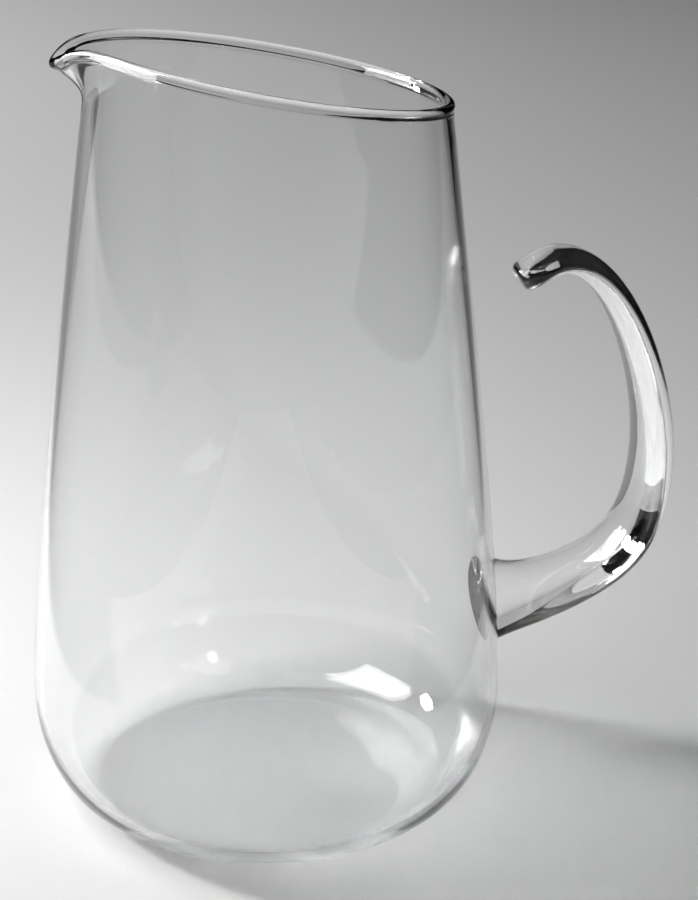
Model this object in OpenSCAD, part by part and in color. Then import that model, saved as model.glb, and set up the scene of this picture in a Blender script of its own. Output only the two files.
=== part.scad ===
// Clear glass jug with a slanted rim, a pulled pouring lip and an open hook handle.
// The origin is the centre of the flat base, +Z is up, the handle points to +X and
// the lip to -X. Lengths are in millimetres.

/* [Vessel] */
// Radius of the flat base where the heel starts to rise
base_radius = 49.6; // [44:0.1:56]
// Largest outside radius, low on the wall
belly_radius = 69.4; // [60:0.1:78]
// Height of the largest radius
belly_height = 33.4; // [26:0.1:42]
// Outside radius of the wall at the mean height of the rim
mouth_radius = 49.4; // [42:0.1:58]
// Height of the rim's plane on the axis
rim_height = 214; // [190:1:240]
// How far the wall keeps rising steeply above the belly before it leans in
wall_lead = 33; // [15:1:60]
// Thickness of the blown wall
wall = 2.2; // [1.6:0.1:3]
// Thickness of the base
base_thickness = 2.6; // [2:0.1:5]

/* [Rim and lip] */
// Tilt of the rim's plane, which is higher at the lip
rim_tilt = 9.4; // [0:0.1:12]
// Diameter of the fire-polished bead along the rim
bead_diameter = 3.2; // [2.6:0.1:4]
// How far the lip is pulled outward
lip_reach = 9.5; // [4:0.1:13]
// How far the pulled lip dips below the rim's plane
lip_drop = 4.6; // [0:0.1:8]
// Height of the wall that flares out into the lip
lip_flare = 8.5; // [5:0.1:12]
// Angle round the rim over which the pull fades
lip_spread = 9.5; // [6:0.1:14]

/* [Handle] */
// Thickness of the strap in its upright plane where it leaves the foot
foot_thickness = 16.8; // [14:0.1:24]
// Width of the strap at the foot, across its upright plane
foot_width = 26; // [18:0.1:32]
// Thickness that the strap is drawn down to at the free end
neck_thickness = 6.2; // [5:0.1:9]
// Width of the strap at the hook
hook_width = 21; // [14:0.1:26]
// Thickness of the melted round end
tip_thickness = 9; // [6:0.1:12]
// Height of the foot's middle line on the wall
foot_height = 53.9; // [48:0.1:62]
// Rise of the strap's middle line as it leaves the wall
foot_angle = 1.5; // [0:0.5:15]
// Extra thickness of the flare where the foot is fused to the wall
foot_flare = 10.5; // [4:0.1:14]
// Length over which the flare dies away
flare_run = 10; // [5:0.1:14]
// Distance from the axis at which the strap starts to bend upward
knee_radius = 88.8; // [84:0.1:94]
// Height of the strap's middle line there
knee_height = 58.1; // [54:0.1:64]
// Rise of the strap's middle line there
knee_angle = 21; // [12:1:34]
// Furthest distance of the strap's middle line from the axis
handle_reach = 116; // [108:0.1:128]
// Height at which the strap is furthest out
reach_height = 98.8; // [90:0.1:110]
// Distance of the hook's crest from the axis
crest_radius = 85.4; // [82:0.1:96]
// Height of the strap's middle line at the crest
crest_height = 159.5; // [145:0.1:170]
// Distance of the tip's middle from the axis
tip_radius = 74.9; // [72:0.1:80]
// Height of the tip's middle
tip_height = 154.9; // [140:0.1:157.5]
// Slope of the tip below the horizontal
tip_angle = 31; // [10:1:40]

/* [Hidden] */
// A height z up the wall turned into a share of the way from belly to rim, such
// that the wall is upright at the belly
function wall_share(z) =
    let (rise = z - belly_height, span = rim_height - belly_height)
    rise / (wall_lead + sqrt(wall_lead * wall_lead + (span - 2 * wall_lead) * rise));

// Radii of the outer face, the inner face and the middle of the wall above the belly
function outer_radius(z) =
    belly_radius - (belly_radius - mouth_radius) * pow(wall_share(z), 2);
function inner_radius(z) = outer_radius(z) - wall;
function middle_radius(z) = outer_radius(z) - wall / 2;

// The vessel is one turned solid up to this level, and the slanted rim stands on it
lowest_rim = rim_height - tan(rim_tilt) * (mouth_radius + bead_diameter);
turned_height = lowest_rim - lip_flare - bead_diameter;

heel_steps = 14;
wall_steps = 18;
inner_base_radius = base_radius - wall / 2;
turn_fn = 96;

// Quarter ellipse from the flat base out to the belly
function heel(start_radius, end_radius, start_height) = [
    for (i = [0:heel_steps])
        let (turn = 90 * i / heel_steps)
        [
            start_radius + (end_radius - start_radius) * sin(turn),
            start_height + (belly_height - start_height) * (1 - cos(turn))
        ]
];

function wall_level(i) = belly_height + (turned_height - belly_height) * i / wall_steps;

outer_outline = concat(
    heel(base_radius, belly_radius, 0),
    [for (i = [1:wall_steps]) [outer_radius(wall_level(i)), wall_level(i)]]
);
inner_outline = concat(
    heel(inner_base_radius, belly_radius - wall, base_thickness),
    [for (i = [1:wall_steps]) [inner_radius(wall_level(i)), wall_level(i)]]
);

function reversed(list) = [for (i = [len(list) - 1:-1:0]) list[i]];

// The rim: one closed outline in the upright plane at each angle from the lip, joined
// into a ring. The angles lie closer together at the lip.
rim_columns = 84;
column_bunching = 34;
flare_steps = 6;
bead_steps = 9;

function column_angle(i) =
    let (even = 360 * i / rim_columns)
    even - column_bunching * sin(even);

// How much of the pull is felt at an angle from the lip: 1 at the lip, fading evenly
function pull(angle) =
    let (away = abs(angle > 180 ? angle - 360 : angle) / lip_spread)
    2 / (exp(away) + exp(-away));

// Height of the bead's middle line at an angle from the lip
function rim_level(angle) =
    let (
        guess = rim_height + tan(rim_tilt) * mouth_radius * cos(angle),
        plane = rim_height + tan(rim_tilt) * middle_radius(guess) * cos(angle)
    )
    plane - lip_drop * pow(pull(angle), 3);

// Middle of the wall, step 0 to flare_steps, from where it starts to flare to the bead
lip_power = 1.4;
function flare_point(angle, step) =
    let (share = step / flare_steps, z = rim_level(angle) - lip_flare * (1 - share))
    [middle_radius(z) + lip_reach * pull(angle) * pow(share, lip_power), z];

// Direction in which the wall runs at a step, and the direction to its outer side
function flare_heading(angle, step) =
    let (
        here = flare_point(angle, max(step - 1, 0)),
        there = flare_point(angle, min(step + 1, flare_steps)),
        run = there - here
    )
    run / norm(run);
function outward(heading) = [heading[1], -heading[0]];

bead_radius = bead_diameter / 2;
bead_start = 180 - asin(wall / bead_diameter);

// The rim's foot stands proud of the turned wall by a hair on both faces, so that
// its flat facets clear the round edges that they stand on
seam = 0.05;
widest_step = column_angle(rim_columns / 2) - column_angle(rim_columns / 2 - 1);
rim_foot_outside = (outer_radius(turned_height) + seam) / cos(widest_step / 2);
rim_foot_inside = inner_radius(turned_height) - seam;

function rim_column(angle) =
    let (end = flare_point(angle, flare_steps), ahead = flare_heading(angle, flare_steps))
    concat(
        [[rim_foot_outside, turned_height]],
        [
            for (step = [0:flare_steps - 1])
                flare_point(angle, step) + wall / 2 * outward(flare_heading(angle, step))
        ],
        [
            for (step = [0:bead_steps])
                let (swing = bead_start - 2 * bead_start * step / bead_steps)
                end + bead_radius * (cos(swing) * ahead + sin(swing) * outward(ahead))
        ],
        [
            for (step = [flare_steps - 1:-1:0])
                flare_point(angle, step) - wall / 2 * outward(flare_heading(angle, step))
        ],
        [[rim_foot_inside, turned_height]]
    );

rim_rows = [for (i = [0:rim_columns - 1]) rim_column(column_angle(i))];
row_length = len(rim_rows[0]);

// The lip points to -X, so angles are counted from there
function placed(point, angle) = [-point[0] * cos(angle), -point[0] * sin(angle), point[1]];

rim_points = [
    for (i = [0:rim_columns - 1], j = [0:row_length - 1])
        placed(rim_rows[i][j], column_angle(i))
];

// Two triangles for each cell of a grid of rows that closes on itself along a row
function cell(row, next_row, j, next_j, length) = [
    [row * length + j, next_row * length + next_j, next_row * length + j],
    [row * length + j, row * length + next_j, next_row * length + next_j]
];

rim_faces = [
    for (i = [0:rim_columns - 1], j = [0:row_length - 1])
        each cell(i, (i + 1) % rim_columns, j, (j + 1) % row_length, row_length)
];

// The strap's middle line in its upright plane: wall, knee, furthest point, crest, tip.
// Between two of them it is a curve that keeps the set heading at both ends.
foot_start = belly_radius - 3 * wall;
foot_lead = 7.5;
knee_pull = 10.9;
knee_lead = 19.8;
reach_pull = 25;
reach_lead = 23.9;
crest_pull = 16.8;
crest_lead = 4;
tip_pull = 4.5;
foot_rings = 8;
knee_rings = 10;
reach_rings = 16;
crest_rings = 7;
cap_rings = 5;
ring_sides = 24;

foot_point = [foot_start, foot_height];
knee_point = [knee_radius, knee_height];
reach_point = [handle_reach, reach_height];
crest_point = [crest_radius, crest_height];
tip_point = [tip_radius, tip_height];

// A heading at an angle above the handle's outward direction
function heading(angle) = [cos(angle), sin(angle)];
rising = heading(90);
level_back = heading(180);
tip_heading = heading(180 + tip_angle);

// The four corners of each curve and the number of rings along it
bends = [
    [
        foot_point,
        foot_point + foot_lead * heading(foot_angle),
        knee_point - knee_pull * heading(knee_angle),
        knee_point,
        foot_rings
    ],
    [
        knee_point,
        knee_point + knee_lead * heading(knee_angle),
        reach_point - reach_pull * rising,
        reach_point,
        knee_rings
    ],
    [
        reach_point,
        reach_point + reach_lead * rising,
        crest_point - crest_pull * level_back,
        crest_point,
        reach_rings
    ],
    [
        crest_point,
        crest_point + crest_lead * level_back,
        tip_point - tip_pull * tip_heading,
        tip_point,
        crest_rings
    ]
];

function along(curve, share) =
    let (left = 1 - share)
    pow(left, 3) * curve[0] + 3 * pow(left, 2) * share * curve[1]
    + 3 * left * pow(share, 2) * curve[2] + pow(share, 3) * curve[3];

middle_line = concat(
    [for (curve = bends, i = [0:curve[4] - 1]) along(curve, i / curve[4])],
    [tip_point]
);
last_ring = len(middle_line) - 1;

// Length along the middle line up to ring i
function run_to(i) = i == 0 ? 0 : run_to(i - 1) + norm(middle_line[i] - middle_line[i - 1]);
strap_length = run_to(last_ring);
wall_run = 2 * wall;
taper_power = 0.9;
knob_run = 4;
end_run = 7;
cap_length = 2.8;
cap_bluntness = 0.45;

// Share of the strap that is left beyond ring i
function left_share(i) = 1 - run_to(i) / strap_length;

// Half of the strap's thickness at ring i: a steady taper, a flare where it meets the
// wall and a melted knob at the free end
function half_thickness(i) =
    let (
        run = run_to(i),
        taper = (foot_thickness - neck_thickness) * pow(left_share(i), taper_power),
        flare = foot_flare * exp(-max(run - wall_run, 0) / flare_run),
        knob = (tip_thickness - neck_thickness) * exp(-(strap_length - run) / knob_run)
    )
    (neck_thickness + taper + flare + knob) / 2;

// Half of the strap's width at ring i, which rounds off toward the free end
function half_width(i) =
    let (
        width = hook_width + (foot_width - hook_width) * left_share(i),
        past_share = max(run_to(i) - strap_length + end_run, 0) / (end_run + cap_length)
    )
    width / 2 * sqrt(1 - past_share * past_share);

function strap_heading(i) =
    let (run = middle_line[min(i + 1, last_ring)] - middle_line[max(i - 1, 0)])
    run / norm(run);

// An oval ring across the heading
function ring(centre, ahead, half_height, half_across) = [
    for (k = [0:ring_sides - 1])
        let (turn = 360 * k / ring_sides, side = half_height * cos(turn) * outward(ahead))
        [centre[0] + side[0], half_across * sin(turn), centre[1] + side[1]]
];

// The free end is closed by a blunt cap whose rings shrink along the last heading
strap_rings = concat(
    [
        for (i = [0:last_ring])
            ring(middle_line[i], strap_heading(i), half_thickness(i), half_width(i))
    ],
    [
        for (i = [1:cap_rings])
            let (turn = 90 * i / (cap_rings + 1), shrink = pow(cos(turn), cap_bluntness))
            ring(
                tip_point + cap_length * sin(turn) * tip_heading,
                tip_heading,
                shrink * half_thickness(last_ring),
                shrink * half_width(last_ring)
            )
    ]
);
ring_count = len(strap_rings);
strap_points = [for (one_ring = strap_rings) each one_ring];

strap_faces = concat(
    [
        for (i = [0:ring_count - 2], k = [0:ring_sides - 1])
            each cell(i, i + 1, k, (k + 1) % ring_sides, ring_sides)
    ],
    [[for (k = [0:ring_sides - 1]) k]],
    [reversed([for (k = [0:ring_sides - 1]) (ring_count - 1) * ring_sides + k])]
);

// Everything inside the outer face of the turned part of the vessel
module outer_form() {
    rotate_extrude($fn = turn_fn)
        polygon(concat([[0, 0]], outer_outline, [[0, turned_height]]));
}

// The blown vessel: flat base, round heel, leaning wall, slanted beaded rim and lip
module vessel() {
    color([0.78, 0.8, 0.81, 0.5]) {
        rotate_extrude($fn = turn_fn)
            polygon(concat(
                [[0, 0]],
                outer_outline,
                reversed(inner_outline),
                [[0, base_thickness]]
            ));
        polyhedron(points = rim_points, faces = rim_faces, convexity = 4);
    }
}

// The solid strap that is fused to the wall only at its foot and hooks back at the top
module handle() {
    color([0.62, 0.65, 0.67, 0.7])
        difference() {
            polyhedron(points = strap_points, faces = strap_faces, convexity = 4);
            outer_form();
        }
}

vessel();
handle();
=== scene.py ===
# %% [markdown]
# A clear glass jug: a blown vessel with a slanted rim and a pulled lip, and a solid
# glass strap fused to it at the foot that hooks back at the top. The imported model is
# loaded first. It fixes every size and place, and the pieces made here only give
# those solids the smooth faces and the finish of real glass.

# %% Load the frame
from math import asin, atan2, cos, cosh, exp, hypot, pi, radians, sin, sqrt, tan

import bmesh
import bpy
from mathutils import Matrix, Vector


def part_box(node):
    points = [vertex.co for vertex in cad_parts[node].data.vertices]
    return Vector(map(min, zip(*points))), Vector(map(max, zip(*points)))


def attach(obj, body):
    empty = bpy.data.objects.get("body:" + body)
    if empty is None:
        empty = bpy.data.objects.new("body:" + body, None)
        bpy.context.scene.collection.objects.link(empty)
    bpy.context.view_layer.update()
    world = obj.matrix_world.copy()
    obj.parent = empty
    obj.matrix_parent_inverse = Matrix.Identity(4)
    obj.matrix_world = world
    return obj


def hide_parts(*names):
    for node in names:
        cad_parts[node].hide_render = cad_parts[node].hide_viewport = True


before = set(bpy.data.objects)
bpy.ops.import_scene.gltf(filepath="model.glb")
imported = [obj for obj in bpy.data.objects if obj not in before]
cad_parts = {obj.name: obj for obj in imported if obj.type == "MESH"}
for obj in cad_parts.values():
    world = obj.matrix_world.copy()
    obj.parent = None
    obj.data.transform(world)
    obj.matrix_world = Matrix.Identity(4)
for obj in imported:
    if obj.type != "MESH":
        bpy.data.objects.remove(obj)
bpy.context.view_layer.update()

vessel_low, vessel_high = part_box("vessel")
handle_low, handle_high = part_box("handle")
print("vessel", [round(v * 1000, 1) for v in vessel_low + vessel_high], "mm")
print("handle", [round(v * 1000, 1) for v in handle_low + handle_high], "mm")

MM = 0.001

# %% [markdown]
# The camera comes first, so that each piece can be judged in the photograph's frame.
# It stands about half a metre from the jug, higher than its rim, and looks down at it.
# The camera could be aimed with a Track To constraint, but a rotation worked out from
# pitch, yaw and roll is plainer, because the photograph is tilted by almost a degree.

# %% Camera
PHOTO_HEIGHT_PX = 900
SENSOR_MM = 36
camera_turn = radians(8)
camera_distance = 556.7 * MM
camera_height = 310.2 * MM
focal_px = 2050
pitch_down = radians(20.21)
yaw_right = radians(2.42)
roll = radians(-0.92)


def add_camera():
    """Stands the camera beside the jug and aims it with its own pitch, yaw and roll."""
    data = bpy.data.cameras.new("photo_camera")
    data.lens = focal_px * SENSOR_MM / PHOTO_HEIGHT_PX
    data.sensor_width = SENSOR_MM
    data.clip_start = 0.01
    camera = bpy.data.objects.new("photo_camera", data)
    bpy.context.scene.collection.objects.link(camera)
    camera.location = (
        -camera_distance * sin(camera_turn),
        -camera_distance * cos(camera_turn),
        camera_height,
    )
    heading = Matrix.Rotation(-camera_turn - yaw_right, 3, "Z")
    tilt = Matrix.Rotation(pi / 2 - pitch_down, 3, "X")
    lean = Matrix.Rotation(-roll, 3, "Z")
    camera.rotation_euler = (heading @ tilt @ lean).to_euler()
    bpy.context.scene.camera = camera
    return camera


camera = add_camera()
print("lens", round(camera.data.lens, 1), "mm")

# %% [markdown]
# The vessel's sizes follow the frame where it has them: the belly, the full height
# and the base on the floor. The rest are the same driving sizes as in the solid, so
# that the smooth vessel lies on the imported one.

# %% Sizes of the vessel
base_radius = 49.6 * MM
belly_radius = vessel_high[1]
belly_height = 33.4 * MM
mouth_radius = 49.4 * MM
rim_height = 214 * MM
wall_lead = 33 * MM
wall = 2.2 * MM
base_thickness = 2.6 * MM
rim_tilt = radians(9.4)
bead_radius = 1.6 * MM
lip_reach = 9.5 * MM
lip_drop = 4.6 * MM
lip_flare = 8.5 * MM
lip_power = 1.4
lip_spread = radians(9.5)


def outer_radius(z):
    """Outside radius of the leaning wall: upright at the belly, then leaning in."""
    rise = z - belly_height
    span = rim_height - belly_height
    share = rise / (wall_lead + sqrt(wall_lead ** 2 + (span - 2 * wall_lead) * rise))
    return belly_radius - (belly_radius - mouth_radius) * share ** 2


def middle_radius(z):
    """Radius of the middle of the wall."""
    return outer_radius(z) - wall / 2


# %% [markdown]
# The outline is half a cross-section: out along the base, round the heel, up the
# wall, over the bead and back down the inside. The wall is drawn with a level rim
# first, because a level outline can be spun. Points are closer where it turns.

# %% Outline of the vessel
HEEL_STEPS = 14
WALL_STEPS = 26
BEAD_STEPS = 13
FLAT_SHARE = 0.96
ROOM_FOR_BEAD = 1.6


def heel(start_radius, end_radius, start_height):
    """Quarter ellipse from the flat base out to the belly."""
    turns = [pi / 2 * i / HEEL_STEPS for i in range(HEEL_STEPS + 1)]
    reach = end_radius - start_radius
    rise = belly_height - start_height
    return [
        (start_radius + reach * sin(t), start_height + rise * (1 - cos(t)))
        for t in turns
    ]


def wall_heights():
    """Heights up the wall from just above the belly to the bead, closer at the top."""
    top = rim_height - bead_radius * cos(asin(wall / 2 / bead_radius)) * ROOM_FOR_BEAD
    rise = top - belly_height
    turns = [pi / 2 * i / WALL_STEPS for i in range(1, WALL_STEPS + 1)]
    return [belly_height + rise * sin(t) for t in turns]


def bead():
    """Round bead at the top, from the outer face over to the inner face."""
    start = pi - asin(wall / 2 / bead_radius)
    swings = [start - 2 * start * i / BEAD_STEPS for i in range(BEAD_STEPS + 1)]
    centre = middle_radius(rim_height)
    return [
        (centre + bead_radius * sin(s), rim_height + bead_radius * cos(s))
        for s in swings
    ]


def flat(radius, height):
    """Middle, halfway point and last flat point of the base, before the heel turns."""
    return [(0, height), (radius / 2, height), (radius * FLAT_SHARE, height)]


outside = flat(base_radius, 0)
outside += heel(base_radius, belly_radius, 0)
outside += [(outer_radius(z), z) for z in wall_heights()]
inner_base = base_radius - wall / 2
inside = flat(inner_base, base_thickness)
inside += heel(inner_base, belly_radius - wall, base_thickness)
inside += [(outer_radius(z) - wall, z) for z in wall_heights()]
outline = outside + bead() + inside[::-1]
print(len(outline), "points in the outline")

# %% [markdown]
# A glassblower turns the vessel on the pipe, so here the outline is spun. A plane is
# merged to one point, the point is extruded along the outline as a chain of edges,
# and the chain is spun once round the upright axis. The ends on the axis merge into
# one point each, and the normals are worked out again after that.

# %% Spin the vessel
COLUMNS = 144
MERGE_GAP = 0.01 * MM


def clean_slate():
    """Deselects everything, so an operator acts on the new piece alone."""
    if bpy.context.object and bpy.context.object.mode != "OBJECT":
        bpy.ops.object.mode_set(mode="OBJECT")
    bpy.ops.object.select_all(action="DESELECT")


def chain(name, points):
    """A new object holding one chain of edges through the points, left in edit mode."""
    clean_slate()
    bpy.ops.mesh.primitive_plane_add(size=MM, location=(0, 0, 0))
    piece = bpy.context.object
    piece.name = name
    bpy.ops.object.mode_set(mode="EDIT")
    bpy.ops.mesh.merge(type="CENTER")
    last = Vector((0, 0, 0))
    for radius, height in points:
        here = Vector((-radius, 0, height))
        if (here - last).length > 0:
            bpy.ops.mesh.extrude_region_move(TRANSFORM_OT_translate={"value": here - last})
        last = here
    return piece


def spin_round(piece, steps):
    """Spins all of the piece's edges once round the upright axis and closes it."""
    bpy.ops.mesh.select_all(action="SELECT")
    bpy.ops.mesh.spin(steps=steps, angle=2 * pi, center=(0, 0, 0), axis=(0, 0, 1))
    bpy.ops.mesh.select_all(action="SELECT")
    bpy.ops.mesh.remove_doubles(threshold=MERGE_GAP)
    bpy.ops.mesh.normals_make_consistent(inside=False)


vessel = chain("blown_vessel", outline)
spin_round(vessel, COLUMNS)
print(len(bmesh.from_edit_mesh(vessel.data).verts), "points in the spun vessel")

# %% [markdown]
# On the real jug the rim is cut on the slant while hot and the lip is pulled out of
# it. Each point near the top keeps its place in the wall's thickness, and the middle
# of the wall under it moves: up or down to the slanted rim, and, close to the lip,
# outward in a flare that grows steeper up to the bead. Proportional editing could
# pull a lip as well, but its fall-off has a point in the middle, and a real lip is
# round there.

# %% Slant the rim and pull the lip
shoulder = 150 * MM


def pull(angle):
    """How much of the pull is felt at an angle from the lip, 1 at the lip."""
    return 1 / cosh(angle / lip_spread)


def rim_level(angle):
    """Height of the bead's middle at an angle from the lip."""
    guess = rim_height + tan(rim_tilt) * mouth_radius * cos(angle)
    plane = rim_height + tan(rim_tilt) * middle_radius(guess) * cos(angle)
    return plane - lip_drop * pull(angle) ** 3


def flare_middle(angle, share):
    """Middle of the wall in the flare, share 0 where it starts and 1 at the bead."""
    z = rim_level(angle) - lip_flare * (1 - share)
    return Vector((middle_radius(z) + lip_reach * pull(angle) * share ** lip_power, z))


def flare_heading(angle, share):
    """Direction of the wall's middle line at a share of the flare."""
    lean = middle_radius(rim_height) - middle_radius(rim_height - lip_flare)
    steepness = lip_power * share ** (lip_power - 1)
    return Vector((lip_reach * pull(angle) * steepness + lean, lip_flare)).normalized()


def slanted(point):
    """Where a point of the level vessel goes on the slanted, lipped one."""
    angle = atan2(-point.y, -point.x)
    radius = hypot(point.x, point.y)
    depth = radius - middle_radius(point.z)
    flare_start = rim_height - lip_flare
    if point.z < flare_start:
        share = (point.z - shoulder) / (flare_start - shoulder)
        z = point.z + share * (rim_level(angle) - rim_height)
        radius = middle_radius(z) + depth
    else:
        share = min((point.z - flare_start) / lip_flare, 1)
        above = max(point.z - rim_height, 0)
        ahead = flare_heading(angle, share)
        if above > 0:
            depth = radius - middle_radius(rim_height)
        place = flare_middle(angle, share) + above * ahead
        place += depth * Vector((ahead.y, -ahead.x))
        radius, z = place
    return Vector((-radius * cos(angle), -radius * sin(angle), z))


mesh = bmesh.from_edit_mesh(vessel.data)
for vertex in mesh.verts:
    if vertex.co.z > shoulder:
        vertex.co = slanted(vertex.co)
bmesh.update_edit_mesh(vessel.data)
bpy.ops.object.mode_set(mode="OBJECT")


def finish_smooth(piece, levels):
    """Rounds the piece with subdivision, applies it and shades it smooth."""
    clean_slate()
    piece.select_set(True)
    bpy.context.view_layer.objects.active = piece
    modifier = piece.modifiers.new("round", "SUBSURF")
    modifier.levels = levels
    modifier.render_levels = levels
    bpy.ops.object.modifier_apply(modifier="round")
    bpy.ops.object.shade_smooth()


finish_smooth(vessel, 1)
print("vessel has", len(vessel.data.polygons), "faces")

# %% [markdown]
# The handle is one solid strap, wider than it is thick, that was drawn out thinner as
# it was bent. So it is made the same way: an oval at the wall is extruded along the
# strap's middle line, and each new ring is turned to the line's heading and scaled to
# the strap's thickness and width there. A curve with a bevel could do it too, but its
# rings can't be given a flare at the foot.

# %% Middle line and thickness of the strap
foot_thickness = 16.8 * MM
foot_width = 26 * MM
neck_thickness = 6.2 * MM
hook_width = 21 * MM
tip_thickness = 9 * MM
foot_flare = 10.5 * MM
flare_run = 10 * MM
knob_run = 4 * MM
end_run = 7 * MM
cap_length = 2.8 * MM
cap_bluntness = 0.45
wall_run = 2 * wall
taper_power = 0.9


def heading(angle):
    """A direction in the strap's upright plane, at an angle above outward."""
    return Vector((cos(angle), sin(angle)))


# Points are (outward, up) in the strap's upright plane.
foot_point = Vector((belly_radius - 3 * wall, 53.9 * MM))
knee_point = Vector((88.8, 58.1)) * MM
reach_point = Vector((116, 98.8)) * MM
crest_point = Vector((85.4, 159.5)) * MM
tip_point = Vector((74.9, 154.9)) * MM
leaving = heading(radians(1.5))
bending = heading(radians(21))
rising = heading(pi / 2)
level_back = heading(pi)
tip_heading = heading(pi + radians(31))

# Each bend: start, lead out of it, lead into the end, end, and its number of rings.
BENDS = [
    (foot_point, 7.5 * MM * leaving, -10.9 * MM * bending, knee_point, 10),
    (knee_point, 19.8 * MM * bending, -25 * MM * rising, reach_point, 12),
    (reach_point, 23.9 * MM * rising, -16.8 * MM * level_back, crest_point, 18),
    (crest_point, 4 * MM * level_back, -4.5 * MM * tip_heading, tip_point, 7),
]


def bend(start, lead, into, end, share):
    """A point on the curve that leaves start along lead and comes in to end along into."""
    left = 1 - share
    first = left ** 3 * start + 3 * left ** 2 * share * (start + lead)
    return first + 3 * left * share ** 2 * (end + into) + share ** 3 * end


middle_line = [foot_point]
for start, lead, into, end, rings in BENDS:
    middle_line += [bend(start, lead, into, end, i / rings) for i in range(1, rings + 1)]
runs = [0]
for here, there in zip(middle_line, middle_line[1:]):
    runs.append(runs[-1] + (there - here).length)
strap_length = runs[-1]
print("the strap is", round(strap_length / MM), "mm long")


def half_thickness(run):
    """Half of the thickness: a steady taper, a flare at the wall, a melted knob."""
    taper = (foot_thickness - neck_thickness) * (1 - run / strap_length) ** taper_power
    flare = foot_flare * exp(-max(run - wall_run, 0) / flare_run)
    knob = (tip_thickness - neck_thickness) * exp(-(strap_length - run) / knob_run)
    return (neck_thickness + taper + flare + knob) / 2


def half_width(run):
    """Half of the width across the upright plane, which rounds off at the free end."""
    width = hook_width + (foot_width - hook_width) * (1 - run / strap_length)
    past = max(run - strap_length + end_run, 0) / (end_run + cap_length)
    return width / 2 * sqrt(1 - past ** 2)


# %% [markdown]
# The strap is drawn from its foot to its free end. The foot starts inside the wall, so
# that the cut that seats it later goes all the way round it. At the free end a few more
# rings shrink to a blunt end, as melted glass does. A half ball set on the end would
# show a line where it starts.

# %% Draw out the strap
STRAP_SIDES = 24
CAP_STEPS = 5


def upright(point):
    """A point of the strap's upright plane as a place in the frame."""
    return Vector((point.x, 0, point.y))


stations = []
for i, (centre, run) in enumerate(zip(middle_line, runs)):
    ahead = middle_line[min(i + 1, len(middle_line) - 1)] - middle_line[max(i - 1, 0)]
    stations.append((centre, atan2(ahead.y, ahead.x), half_thickness(run), half_width(run)))
for i in range(1, CAP_STEPS + 1):
    turn = pi / 2 * i / (CAP_STEPS + 1)
    centre = tip_point + cap_length * sin(turn) * tip_heading
    shrink = cos(turn) ** cap_bluntness
    size = (shrink * half_thickness(strap_length), shrink * half_width(strap_length))
    stations.append((centre, stations[-1][1], *size))

clean_slate()
first_centre, first_lift, first_thick, first_wide = stations[0]
bpy.ops.mesh.primitive_circle_add(
    vertices=STRAP_SIDES,
    radius=first_thick,
    fill_type="NGON",
    location=upright(first_centre),
    rotation=(0, pi / 2 - first_lift, 0),
)
handle = bpy.context.object
handle.name = "hook_handle"
handle.scale.y = first_wide / first_thick
bpy.ops.object.transform_apply(location=True, rotation=True, scale=True)
bpy.ops.object.mode_set(mode="EDIT")
bpy.ops.mesh.select_all(action="SELECT")
for (old_centre, old_lift, old_thick, old_wide), station in zip(stations, stations[1:]):
    centre, lift, thick, wide = station
    step = upright(centre) - upright(old_centre)
    bpy.ops.mesh.extrude_region_move(TRANSFORM_OT_translate={"value": step})
    turn = (lift - old_lift + pi) % (2 * pi) - pi
    bpy.ops.transform.rotate(value=turn, orient_axis="Y", center_override=upright(centre))
    grow = thick / old_thick
    widen = wide / old_wide
    bpy.ops.transform.resize(value=(grow, widen, grow), center_override=upright(centre))
bpy.ops.mesh.select_all(action="SELECT")
bpy.ops.mesh.normals_make_consistent(inside=False)
bpy.ops.object.mode_set(mode="OBJECT")
finish_smooth(handle, 2)
print("strap reaches", [round(v / MM, 1) for v in handle.dimensions], "mm")

# %% [markdown]
# The strap is fused to the wall, so no air lies between them. Its foot is cut to the
# wall's curve, a little inside the wall's outer face. Light that crosses two glass
# faces that overlap goes on as it came, as it does in fused glass, while two faces
# with a gap would mirror it.

# %% Seat the foot in the wall
fuse_depth = 0.4 * MM
smooth_below = radians(40)
form_outline = [(radius - fuse_depth, height) for radius, height in outside[3:]]
form_outline = [(0, 0), *form_outline, (0, form_outline[-1][1])]
form = chain("outer_form", form_outline)
spin_round(form, COLUMNS)
bpy.ops.object.mode_set(mode="OBJECT")

clean_slate()
handle.select_set(True)
bpy.context.view_layer.objects.active = handle
cut = handle.modifiers.new("seat", "BOOLEAN")
cut.operation = "DIFFERENCE"
cut.solver = "EXACT"
cut.object = form
bpy.ops.object.modifier_apply(modifier="seat")
bpy.ops.object.shade_smooth_by_angle(angle=smooth_below)
bpy.data.objects.remove(form)
print("handle has", len(handle.data.polygons), "faces")

# %% [markdown]
# Clear glass is one shader: full transmission, no roughness and the index of
# borosilicate glass. What makes it look blown and not moulded is a faint waviness,
# so a slow noise on Object coordinates tips the normals by a hair.

# %% Glass
GLASS_INDEX = 1.474
blown_wave = 40 * MM
drawn_wave = 15 * MM
wave_depth = 0.02 * MM


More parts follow.
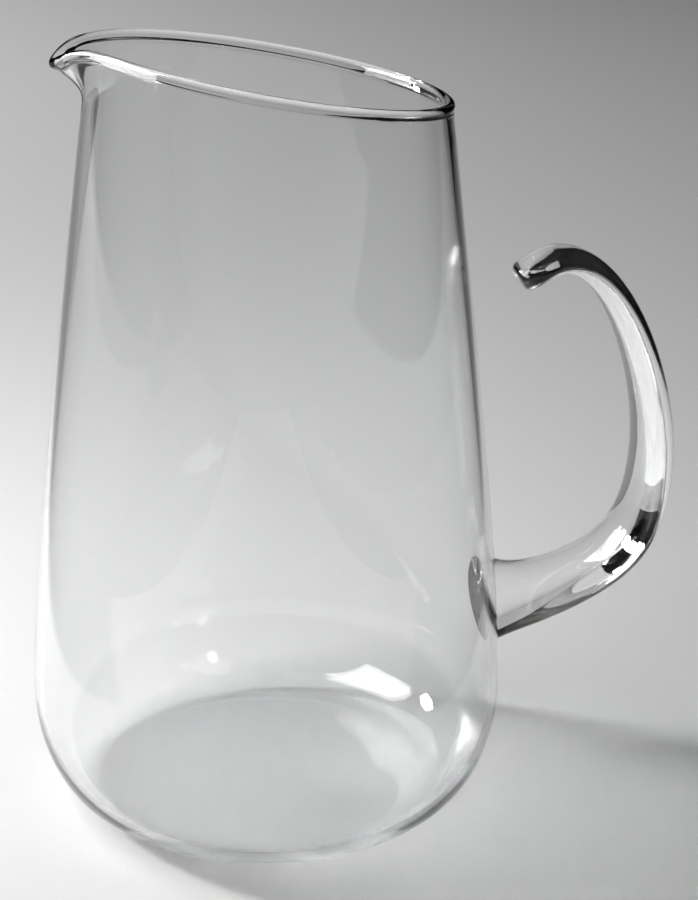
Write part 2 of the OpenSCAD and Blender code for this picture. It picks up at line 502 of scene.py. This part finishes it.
def clear_glass(name, wave_size):
    """Clear glass whose faces are faintly wavy, with waves of a given size."""
    material = bpy.data.materials.new(name)
    material.use_nodes = True
    nodes = material.node_tree.nodes
    links = material.node_tree.links
    shader = nodes["Principled BSDF"]
    shader.inputs["Base Color"].default_value = (0.985, 0.99, 0.99, 1)
    shader.inputs["Roughness"].default_value = 0
    shader.inputs["IOR"].default_value = GLASS_INDEX
    shader.inputs["Transmission Weight"].default_value = 1
    place = nodes.new("ShaderNodeTexCoord")
    waves = nodes.new("ShaderNodeTexNoise")
    waves.inputs["Scale"].default_value = 1 / wave_size
    waves.inputs["Detail"].default_value = 1
    bump = nodes.new("ShaderNodeBump")
    bump.inputs["Strength"].default_value = 1
    bump.inputs["Distance"].default_value = wave_depth
    links.new(place.outputs["Object"], waves.inputs["Vector"])
    links.new(waves.outputs["Fac"], bump.inputs["Height"])
    links.new(bump.outputs["Normal"], shader.inputs["Normal"])
    return material


vessel.data.materials.append(clear_glass("blown_glass", blown_wave))
handle.data.materials.append(clear_glass("drawn_strap_glass", drawn_wave))

for piece, node in ((vessel, "vessel"), (handle, "handle")):
    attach(piece, "root")
    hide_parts(node)
    print(piece.name, "stands for", node, "in", piece.data.materials[0].name)

# %% [markdown]
# The stage is a plain pale sheet on a darker table in a dark room. Glass has no colour
# of its own and shows what is round it. The lit sheet makes it bright. The sheet is
# only a little wider than the picture, so the table beside it draws the thin dark
# lines along the edges, and the room above draws the black crest of the handle. A
# second sheet lies in front, below the picture, and a pale board stands at the far
# end, which keeps the rim pale.

# %% Sheets
floor_front = 0.1
floor_back = 2.3
floor_drop = 0.3 * MM
floor_near_width = 0.315
floor_far_width = 1.13
floor_shift = -0.03
front_width = 0.7
front_reach = 1.6
board_width = 0.66
board_height = 0.75
board_shift = -0.17
table_width = 2.1
table_shift = -0.45
table_drop = 1 * MM


def matt(name, grey):
    """A matt grey surface."""
    material = bpy.data.materials.new(name)
    material.use_nodes = True
    shader = material.node_tree.nodes["Principled BSDF"]
    shader.inputs["Base Color"].default_value = (grey, grey, grey, 1)
    shader.inputs["Roughness"].default_value = 0.9
    return material


pale = matt("pale_sheet", 0.5)
dark = matt("dark_table", 0.13)


def sheet(name, material, widths, length, middle, lift=0):
    """A flat sheet square to the camera, widths near and far: lift 0 lies, pi / 2 stands."""
    clean_slate()
    bpy.ops.mesh.primitive_plane_add(size=1, location=(0, 0, 0))
    panel = bpy.context.object
    panel.name = name
    near_width, far_width = widths
    for corner in panel.data.vertices:
        corner.co.x *= far_width if corner.co.y > 0 else near_width
        corner.co.y *= length
    panel.rotation_euler.x = lift
    panel.location = middle
    bpy.ops.object.transform_apply(location=True, rotation=True, scale=True)
    panel.rotation_euler.z = -camera_turn - yaw_right
    bpy.ops.object.transform_apply(location=True, rotation=True, scale=True)
    panel.data.materials.append(material)
    print(name, [round(v, 2) for v in panel.dimensions], "m")


# %% [markdown]
# The floor sheet is wider at the back than in front, as the view is. The sheets meet
# in front of the jug, below the picture, and the table lies a little lower under both.

# %% Lay the sheets
axis_shift = camera_distance * sin(yaw_right)
floor_length = floor_front + floor_back
floor_middle = (axis_shift + floor_shift, (floor_back - floor_front) / 2, -floor_drop)
sheet("floor", pale, (floor_near_width, floor_far_width), floor_length, floor_middle)
front_length = front_reach - floor_front
front_middle = (axis_shift, -(front_reach + floor_front) / 2, -floor_drop)
sheet("front_sheet", pale, (front_width, front_width), front_length, front_middle)
board_middle = (board_shift, floor_back, board_height / 2 - floor_drop)
sheet("board", pale, (board_width, board_width), board_height, board_middle, pi / 2)
table_length = front_reach + floor_back
table_middle = (table_shift, (floor_back - front_reach) / 2, -floor_drop - table_drop)
sheet("table", dark, (table_width, table_width), table_length, table_middle)

# %% [markdown]
# Glass is lit by what is mirrored and bent in it. The key softbox is near and small,
# and its mirror image is the sharp patch in the heel. The far one stands behind the jug
# at the left. It lights the sheet from left to right and throws the jug's shadow. The
# top one is weak and only lifts the lower part of the strap. Spot lights could do the
# same, but their mirror images are points.

# %% Lights
def softbox(name, place, target, side, watts):
    """A square soft light that stands at place and faces target."""
    data = bpy.data.lights.new(name, "AREA")
    data.shape = "RECTANGLE"
    data.size = side
    data.size_y = side
    data.energy = watts
    light = bpy.data.objects.new(name, data)
    bpy.context.scene.collection.objects.link(light)
    light.location = place
    aim = Vector(target) - Vector(place)
    light.rotation_euler = aim.to_track_quat("-Z", "Y").to_euler()
    light.visible_camera = False
    print(name, side, "m square,", watts, "W")


softbox("key_softbox", (-0.31, 0.07, 0.37), (0.02, 0.16, 0), 0.28, 2.9)
softbox("far_softbox", (-2, 1.24, 1.1), (0.1, 0.8, 0), 0.35, 94)
softbox("top_softbox", (-0.32, 0.13, 0.96), (0.09, 0, 0.06), 0.6, 0.7)

# %% [markdown]
# The room is nearly black, so the dark lines in the glass stay dark.

# %% Dark room
ROOM_GLOW = 0.003
scene = bpy.context.scene
scene.world = bpy.data.worlds.new("studio")
scene.world.use_nodes = True
glow = scene.world.node_tree.nodes["Background"]
glow.inputs["Color"].default_value = (1, 1, 1, 1)
glow.inputs["Strength"].default_value = ROOM_GLOW
print("room glow", ROOM_GLOW)

# %% [markdown]
# Light crosses many faces of glass before it leaves the jug, so it is given many
# bounces. The patterns that glass throws on the sheet are left on, and nothing blurs or
# clips them, because they are half of what makes glass look like glass.

# %% Light paths and colour
GLASS_BOUNCES = 24
scene.view_settings.view_transform = "Standard"
scene.cycles.max_bounces = GLASS_BOUNCES
scene.cycles.transmission_bounces = GLASS_BOUNCES
scene.cycles.glossy_bounces = 12
scene.cycles.transparent_max_bounces = 16
scene.cycles.caustics_reflective = True
scene.cycles.caustics_refractive = True
scene.cycles.sample_clamp_indirect = 0
scene.cycles.blur_glossy = 0
scene.cycles.use_denoising = True
print("up to", scene.cycles.max_bounces, "bounces")
